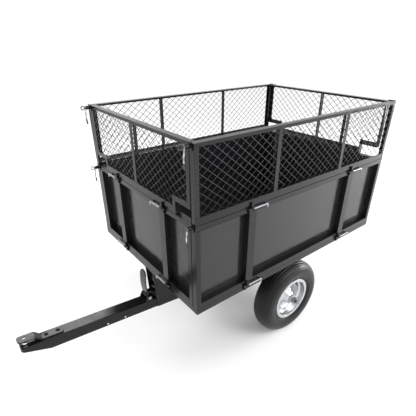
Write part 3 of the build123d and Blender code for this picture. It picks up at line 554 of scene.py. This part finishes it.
# ---- expanded mesh -----------------------------------------------------------------------------
@dataclass
class ExpandedMesh:
    """Slit and stretched steel sheet: diamonds of twisted strands, whose upper edges lean outwards."""

    shop: Workshop
    quarters: dict[str, int] = field(default_factory=lambda: {"left": 0, "right": 2, "front": -1, "rear": 1})
    wide: float = 40 * MM
    high: float = 32 * MM
    strand: float = 1.7 * MM
    sheet: float = 0.8 * MM
    twist: float = 1.8 * MM
    notch_wide: float = 90 * MM
    notch_high: float = 52 * MM
    smallest_cell: float = 0.12     # share of a whole cell under which a cut one stays shut

    def lattice(self, length: float, height: float, notched: bool) -> bmesh.types.BMesh:
        """Flat lattice in X and Z, centred on the origin.

        Args:
            length: along X.
            height: along Z.
            notched: whether both lower corners are cut out.

        Returns:
            The lattice with its thickness, facing -Y.
        """
        shape = bmesh.new()
        cells = math.ceil((length / self.wide + height / self.high) / 2) + 1
        bmesh.ops.create_grid(shape, x_segments=2 * cells, y_segments=2 * cells, size=cells)
        slant = Matrix(((self.wide / 2, -self.wide / 2, 0, 0), (0, 0, 0, 0),
                        (self.high / 2, self.high / 2, 0, 0), (0, 0, 0, 1)))
        bmesh.ops.transform(shape, matrix=slant, verts=shape.verts)
        x, z = Vector((1, 0, 0)), Vector((0, 0, 1))
        for side, reach in ((x, length / 2), (-x, length / 2), (z, height / 2), (-z, height / 2)):
            bmesh.ops.bisect_plane(shape, geom=shape.verts[:] + shape.edges[:] + shape.faces[:],
                                   plane_co=side * reach, plane_no=side, clear_outer=True)
        if notched:
            inner, top = length / 2 - self.notch_wide, self.notch_high - height / 2
            for side, reach in ((x, inner), (x, -inner), (z, top)):
                faces = [f for f in shape.faces
                         if any(abs(v.co.x) > inner and v.co.z < top for v in f.verts)]
                parts = dict.fromkeys(part for f in faces for part in (f, *f.edges, *f.verts))
                bmesh.ops.bisect_plane(shape, geom=list(parts), plane_co=side * reach, plane_no=side)
            cut = [f for f in shape.faces if abs(f.calc_center_median().x) > inner
                   and f.calc_center_median().z < top]
            bmesh.ops.delete(shape, geom=cut, context="FACES")
        whole = [f for f in shape.faces if f.calc_area() > self.smallest_cell * self.wide * self.high]
        bmesh.ops.inset_individual(shape, faces=whole, thickness=self.strand / 2, use_even_offset=True)
        for hole in whole:
            middle = hole.calc_center_median()
            for corner in hole.verts:
                corner.co.y -= self.twist * (corner.co.z - middle.z) / (self.high / 2)
        bmesh.ops.delete(shape, geom=whole, context="FACES")
        bmesh.ops.solidify(shape, geom=shape.faces[:], thickness=self.sheet)
        bmesh.ops.recalc_face_normals(shape, faces=shape.faces)
        return shape

    def build(self) -> None:
        """Make the four panels' sheets, each turned so that its outer side is outwards."""
        for name in self.quarters:
            node = f"{name}_mesh_sheet"
            low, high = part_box(node)
            size, middle = high - low, (low + high) / 2
            along_x = size.x > size.y
            shape = self.lattice(max(size.x, size.y), size.z, notched=not along_x)
            turn = Matrix.Rotation(self.quarters[name] * math.pi / 2, 4, "Z")
            bmesh.ops.translate(shape, vec=(0, self.sheet / 2, 0), verts=shape.verts)
            bmesh.ops.transform(shape, matrix=Matrix.Translation(middle) @ turn, verts=shape.verts)
            self.shop.piece(f"{name}_expanded_mesh", shape, Finish.MESH_BLACK, body_of(node), (node,))


@dataclass
class FloorTread(ExpandedMesh):
    """The fine diamond pattern of the bed's floor, flush with the sheet's top."""

    wide: float = 30 * MM
    high: float = 22 * MM
    strand: float = 2.0 * MM
    sheet: float = 1.0 * MM
    twist: float = 0.0
    border: float = 4 * MM

    def build(self) -> None:
        """Let the tread into the top of the floor sheet."""
        low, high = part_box("bed_floor")
        size, middle = high - low, (low + high) / 2
        shape = self.lattice(size.x - 2 * self.border, size.y - 2 * self.border, notched=False)
        flat = Matrix.Rotation(-math.pi / 2, 4, "X")
        lift = Matrix.Translation((middle.x, middle.y, high.z + self.sheet / 2))
        bmesh.ops.translate(shape, vec=(0, self.sheet / 2, 0), verts=shape.verts)
        bmesh.ops.transform(shape, matrix=lift @ flat, verts=shape.verts)
        self.shop.piece("floor_tread", shape, Finish.MESH_BLACK, "bed")


# ---- wheels ------------------------------------------------------------------------------------
@dataclass
class Wheel:
    """A pneumatic garden tyre on a dished, silver-enamelled steel rim."""

    shop: Workshop
    hand: str
    steps: int = 144
    grooves: tuple[float, ...] = (-37.0, -24.0, -9.0, 9.0, 24.0, 37.0)
    groove_depth: float = 3.2
    groove_half: float = 1.7
    ribs: tuple[float, ...] = (127.0, 133.0, 158.0, 176.0)
    rib_half: float = 1.6
    rib_height: float = 1.1
    section_points: int = 220
    seat: float = 103.0
    squareness: float = 2.35

    def __post_init__(self) -> None:
        """Take the wheel's place from the frame."""
        low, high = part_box(f"{self.hand}_tyre")
        self.centre = (low + high) / 2
        self.radius = (high.z - low.z) / 2
        self.half_width = (high.y - low.y) / 2
        self.out = 1.0 if self.centre.y > 0 else -1.0

    def tyre(self) -> None:
        """The tyre: a squared oval section with tread grooves and moulded sidewall ribs."""
        middle = (self.radius + self.seat * MM) / 2
        deep = self.radius - middle
        section = []
        for step in range(self.section_points):
            angle = math.tau * step / self.section_points
            across, up = math.cos(angle), math.sin(angle)
            along = self.half_width * math.copysign(abs(across) ** (2 / self.squareness), across)
            radius = middle + deep * math.copysign(abs(up) ** (2 / self.squareness), up)
            if up > 0:
                cut = sum(math.exp(-((along / MM - g) / self.groove_half) ** 4) for g in self.grooves)
                radius -= cut * self.groove_depth * MM
            raised = sum(math.exp(-((radius / MM - r) / self.rib_half) ** 2) for r in self.ribs)
            sunk = self.rib_height * MM * (1 - min(raised, 1.0)) * min(1, abs(across) * 3)
            along -= math.copysign(sunk, across)
            section.append((radius, along))
        shape = spun(section, self.centre, self.steps)
        self.shop.piece(f"{self.hand}_tyre_ribbed", shape, Finish.TYRE_BLACK, f"{self.hand}_wheel",
                        (f"{self.hand}_tyre",), smooth_deg=50)

    def rim(self) -> None:
        """The rim: rolled flanges, a stepped barrel, and a dished disc round the hub."""
        low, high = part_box(f"{self.hand}_rim")
        outer = max(abs(low.y), abs(high.y)) - abs(self.centre.y)
        flange, seat, skin = (high.z - low.z) / 2, self.seat * MM - 1 * MM, 3 * MM
        edge = 47 * MM
        hub, bore, back = 22 * MM, 17.6 * MM, -29.9 * MM
        profile = [(flange, -edge), (flange, -edge + skin), (seat, -edge + skin), (seat, -20 * MM),
                   (seat - 9 * MM, -14 * MM), (seat - 9 * MM, 12 * MM), (seat, 18 * MM), (seat, edge - skin),
                   (flange, edge - skin), (flange, edge), (seat - skin, edge), (seat - skin, 21 * MM),
                   (seat - 12 * MM, 13 * MM), (seat - 13 * MM, 7 * MM), (74 * MM, 3 * MM), (58 * MM, 4 * MM),
                   (46 * MM, 10 * MM), (34 * MM, 22 * MM), (26 * MM, 36 * MM), (hub, 40 * MM),
                   (hub, outer), (bore, outer), (bore, back), (hub, back),
                   (hub, 30 * MM), (30 * MM, 19 * MM), (43 * MM, 7 * MM), (58 * MM, 1 * MM),
                   (74 * MM, 0.0), (seat - 14 * MM, 3.5 * MM), (seat - 15 * MM, -14 * MM),
                   (seat - skin, -20 * MM)]
        profile = [(radius, along * self.out) for radius, along in profile]
        shape = spun(profile, self.centre, self.steps)
        self.shop.piece(f"{self.hand}_rim_dished", shape, Finish.RIM_SILVER, f"{self.hand}_wheel",
                        (f"{self.hand}_rim",), edge_mm=1.1, smooth_deg=30)

    def valve(self) -> None:
        """The valve stem with its cap, leaning out of the barrel."""
        beside, lean, stem_radius, cap_radius, stem_share = 62 * MM, 10 * MM, 4.2 * MM, 3.2 * MM, 0.55
        root = self.centre + Vector((-beside, self.out * 6 * MM, beside))
        tip = root + Vector((lean, self.out * 26 * MM, -lean))
        neck = root.lerp(tip, stem_share)
        stem = bmesh.new()
        rod_into(stem, root, neck, stem_radius)
        rod_into(stem, neck, tip, cap_radius)
        self.shop.piece(f"{self.hand}_valve_stem", stem, Finish.PAD_RUBBER, f"{self.hand}_wheel",
                        edge_mm=0.6)

    def cotter(self) -> None:
        """The split pin through the end of the axle, with one leg bent aside."""
        low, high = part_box("axle")
        end = high.y if self.out > 0 else low.y
        inset, half, eye, wire, shank = 3.2 * MM, 15 * MM, 3.4 * MM, 1.2 * MM, 1.5 * MM
        place = Vector((self.centre.x, end - self.out * inset, self.centre.z))
        shape = ring_shape(place + Vector((0, 0, half)), eye, wire, Vector((0, 1, 0)), 24, 8)
        rod_into(shape, place + Vector((0, 0, 12 * MM)), place - Vector((0, 0, half)), shank, 12)
        rod_into(shape, place - Vector((0, 0, 14 * MM)), place + Vector((9 * MM, 0, -16 * MM)), wire, 12)
        self.shop.piece(f"{self.hand}_cotter_pin", shape, Finish.BRIGHT_ZINC, "chassis")

    def build(self) -> None:
        """Make the wheel's pieces."""
        self.tyre()
        self.rim()
        self.valve()
        self.cotter()


# ---- corner pins -------------------------------------------------------------------------------
@dataclass
class CornerPin:
    """A pull pin with its ring and, at most corners, a short vinyl-covered cable with a crimped end.

    The cable's route runs down and a little outwards from where it leaves the pin.
    """

    shop: Workshop
    corner: str
    shaft: float = 4.0 * MM
    ring: float = 8.0 * MM
    wire: float = 2.0 * MM
    cable: float = 5.0 * MM
    cable_length: float = 54.3 * MM
    hang: float = 21.2 * MM
    route: tuple[tuple[float, float], ...] = ((0, 0), (0, -0.013), (0.0035, -0.033), (0.0015, -0.054))
    below_shaft: float = 0.3 * MM
    eye_wire: float = 1.2 * MM
    eye_gap: float = 1.3 * MM       # from the shaft to the middle of the eye's wire
    crimp: float = 3.3 * MM
    crimp_length: float = 22 * MM

    def __post_init__(self) -> None:
        """Take the pin's place from the frame."""
        low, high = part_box(f"{self.corner}_pin")
        self.out = 1.0 if (low.x + high.x) > 0 else -1.0
        self.tip_x, self.end_x = (low.x, high.x) if self.out > 0 else (high.x, low.x)
        self.line = Vector((0, (low.y + high.y) / 2, (low.z + high.z) / 2))
        self.body = f"{self.corner}_pin"

    def at(self, x: float, up: float = 0.0) -> Vector:
        """A point on the pin's line, or above it."""
        return self.line + Vector((x, 0, up))

    def pin(self) -> None:
        """The shaft with rounded ends, and the pull ring through its outer end."""
        ring_x = self.end_x - self.out * (self.ring + self.wire)
        shape = bmesh.new()
        outer_x = ring_x - self.out * (self.ring - self.wire)
        rod_into(shape, self.at(self.tip_x), self.at(outer_x), self.shaft)
        self.shop.piece(f"{self.corner}_pin_shaft", shape, Finish.PIN_BLACK, self.body,
                        (f"{self.corner}_pin",), edge_mm=1.0)
        loop = ring_shape(self.at(ring_x), self.ring, self.wire, Vector((0, 1, 0)))
        self.shop.piece(f"{self.corner}_pull_ring", loop, Finish.PIN_BLACK, self.body)

    def lanyard(self) -> None:
        """The cable: a NURBS line down from the pin, an eye round the pin and a crimp on its end."""
        node = f"{self.corner}_lanyard"
        if node not in frame["nodes"]:
            return
        start = self.at(self.end_x - self.out * self.hang, -self.shaft - self.below_shaft)
        points = [start + Vector((self.out * out, 0, up)) for out, up in self.route]
        curve = bpy.data.curves.new(f"{self.corner}_cable", "CURVE")
        curve.dimensions = "3D"
        curve.bevel_depth = self.cable / 2
        curve.bevel_resolution = 4
        curve.use_fill_caps = True
        spline = curve.splines.new("NURBS")
        spline.points.add(len(points) - 1)
        for knot, point in zip(spline.points, points):
            knot.co = (*point, 1.0)
        spline.order_u = 3
        spline.use_endpoint_u = True
        spline.resolution_u = 16
        cable = bpy.data.objects.new(f"{self.corner}_cable", curve)
        bpy.context.scene.collection.objects.link(cable)
        self.shop.dress(cable, Finish.CABLE_GREY, self.body, (node,))

        end, way = points[-1], (points[-1] - points[-2]).normalized()
        ferrule = bmesh.new()
        over, beyond = way * self.crimp_length * 0.4, way * self.crimp_length * 0.6
        rod_into(ferrule, end - over, end + beyond, self.crimp)
        crimp = self.shop.piece(f"{self.corner}_crimp", ferrule, Finish.PIN_BLACK, self.body, edge_mm=1.2)
        eye = ring_shape(self.at(start.x), self.shaft + self.eye_gap, self.eye_wire, Vector((1, 0, 0)), 32,
                         10)
        self.shop.piece(f"{self.corner}_cable_eye", eye, Finish.BRIGHT_ZINC, self.body)

    def build(self) -> None:
        """Make the pin and its lanyard."""
        self.pin()
        self.lanyard()


# ---- welds -------------------------------------------------------------------------------------
@dataclass
class WeldBeads:
    """Rippled stitch welds of the lower panels' skins."""

    shop: Workshop
    bead: float = 2.1 * MM
    pitch: float = 2.4 * MM
    half_stitch: float = 12 * MM
    from_end: float = 5.2 * MM
    heights: tuple[float, ...] = (0.2, 0.5, 0.8)    # shares of the skin's height

    def run_into(self, shape: bmesh.types.BMesh, start: Vector, end: Vector) -> None:
        """Add one weld run, a row of overlapping flattened beads, to a bmesh."""
        count = max(2, round((end - start).length / self.pitch))
        for step in range(count + 1):
            place = start.lerp(end, step / count)
            size = self.bead * random.uniform(0.9, 1.12)
            bmesh.ops.create_icosphere(shape, subdivisions=1, radius=size, matrix=Matrix.Translation(place))

    def build(self) -> None:
        """Stitch-weld each lower panel's skin near both its ends, on its outer face."""
        random.seed(7)
        for name in ("left", "right", "front", "rear"):
            self.panel(name)

    def panel(self, name: str) -> None:
        """Make one panel's stitch welds.

        Args:
            name: the panel's side of the bed.
        """
        node = f"{name}_panel_skin"
        low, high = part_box(node)
        along_x = (high.x - low.x) > (high.y - low.y)
        side = 1.0 if (low + high).dot(Vector((0, 1, 0) if along_x else (1, 0, 0))) > 0 else -1.0
        depth = (high.y if side > 0 else low.y) if along_x else (high.x if side > 0 else low.x)
        stitches = bmesh.new()
        reach = (high.x - low.x) / 2 if along_x else (high.y - low.y) / 2
        middle = (low.x + high.x) / 2 if along_x else (low.y + high.y) / 2
        for end in (-1, 1):
            for share in self.heights:
                height = low.z + share * (high.z - low.z)
                along = middle + end * (reach - self.from_end)
                points = [Vector((along, depth, height + up)) if along_x
                          else Vector((depth, along, height + up))
                          for up in (-self.half_stitch, self.half_stitch)]
                self.run_into(stitches, *points)
        self.shop.piece(f"{name}_panel_welds", stitches, Finish.GLOSS_BLACK, body_of(node), smooth_deg=80)


# ---- studio ------------------------------------------------------------------------------------
@dataclass
class Studio:
    """Pale floor, soft lights and the camera."""

    lens: float = 30.39
    shift_up: float = 0.039
    eye: tuple[float, float, float] = (0.9174, 1.236, 1.423)
    yaw: float = 0.9085
    pitch: float = 0.4991
    half_floor: float = 400.0       # far enough that its edge is never in sight
    mottle_mm: float = 900
    room_light: float = 1.05

    def floor(self) -> None:
        """A wide pale floor with a faint unevenness."""
        shape = bmesh.new()
        bmesh.ops.create_grid(shape, x_segments=1, y_segments=1, size=self.half_floor)
        mesh = bpy.data.meshes.new("studio_floor")
        shape.to_mesh(mesh)
        shape.free()
        floor = bpy.data.objects.new("studio_floor", mesh)
        bpy.context.scene.collection.objects.link(floor)
        material, tree, shader = new_material("pale_paper", Roughness=0.9)
        place = add_node(tree, "ShaderNodeTexCoord").outputs["Object"]
        mottle = add_node(tree, "ShaderNodeTexNoise", {"Vector": place, "Scale": repeats(self.mottle_mm)})
        tone = add_node(tree, "ShaderNodeMix", {0: mottle.outputs["Fac"], 6: linear("#FAFAFA"),
                                                7: linear("#FDFDFD")}, data_type="RGBA")
        tree.links.new(tone.outputs[2], shader.inputs["Base Color"])
        mesh.materials.append(material)

    def softbox(self, name: str, place: tuple[float, float, float], target: Vector,
                size: tuple[float, float], power: float) -> None:
        """Hang one rectangular area light.

        Args:
            name: the light's name.
            place: its middle.
            target: the point that it faces.
            size: its width and height, in metres.
            power: in watts.
        """
        data = bpy.data.lights.new(name, "AREA")
        data.shape = "RECTANGLE"
        data.size, data.size_y = size
        data.energy = power
        lamp = bpy.data.objects.new(name, data)
        lamp.location = place
        lamp.rotation_euler = (target - Vector(place)).to_track_quat("-Z", "Y").to_euler()
        bpy.context.scene.collection.objects.link(lamp)

    def lights(self) -> None:
        """A bright even room, and soft boxes for the tongue's top, the mesh and the floor on the left."""
        world = bpy.data.worlds.new("studio_room")
        world.use_nodes = True
        world.node_tree.nodes["Background"].inputs["Color"].default_value = linear("#FFFFFF")
        world.node_tree.nodes["Background"].inputs["Strength"].default_value = self.room_light
        bpy.context.scene.world = world
        middle = (CAD_BOX[0] + CAD_BOX[1]) / 2
        self.softbox("over_tongue", (-0.1, -2.95, 2.85), Vector((0.7, 0.0, 0.2)), (1.9, 1.1), 42)
        self.softbox("low_behind", (-5.0, 1.9, 1.2), middle, (2.0, 1.2), 150)
        self.softbox("over_left_floor", (-1.6, 3.4, 3.0), Vector((-1.4, 1.8, 0.0)), (2.4, 1.6), 90)

    def camera(self) -> None:
        """The camera, a little above and in front of the cart's left front corner."""
        back = Vector((math.cos(self.yaw) * math.cos(self.pitch), math.sin(self.yaw) * math.cos(self.pitch),
                       math.sin(self.pitch)))
        data = bpy.data.cameras.new("camera")
        data.lens = self.lens
        data.shift_y = self.shift_up
        eye = bpy.data.objects.new("camera", data)
        eye.location = self.eye
        eye.rotation_euler = (-back).to_track_quat("-Z", "Y").to_euler()
        bpy.context.scene.collection.objects.link(eye)
        bpy.context.scene.camera = eye

    def build(self) -> None:
        """Set up the floor, the lights and the camera."""
        self.camera()
        self.floor()
        self.lights()
        bpy.context.scene.view_settings.view_transform = "Standard"


def main() -> None:
    """Build every sub-assembly."""
    logging.basicConfig(level=logging.INFO, format="%(name)s: %(message)s")
    Studio().build()
    shop = Workshop()
    for end in ("front", "rear"):
        for hand in ("left", "right"):
            for level in ("lower", "upper"):
                CornerPin(shop, f"{end}_{hand}_{level}").build()
    for hand in ("left", "right"):
        Wheel(shop, hand).build()
    ExpandedMesh(shop).build()
    FloorTread(shop).build()
    WeldBeads(shop).build()
    remade = {n for piece in bpy.data.objects for n in piece.get("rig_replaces", [])}
    Steelwork(shop).build(skipped=remade)


if __name__ == "__main__":
    main()
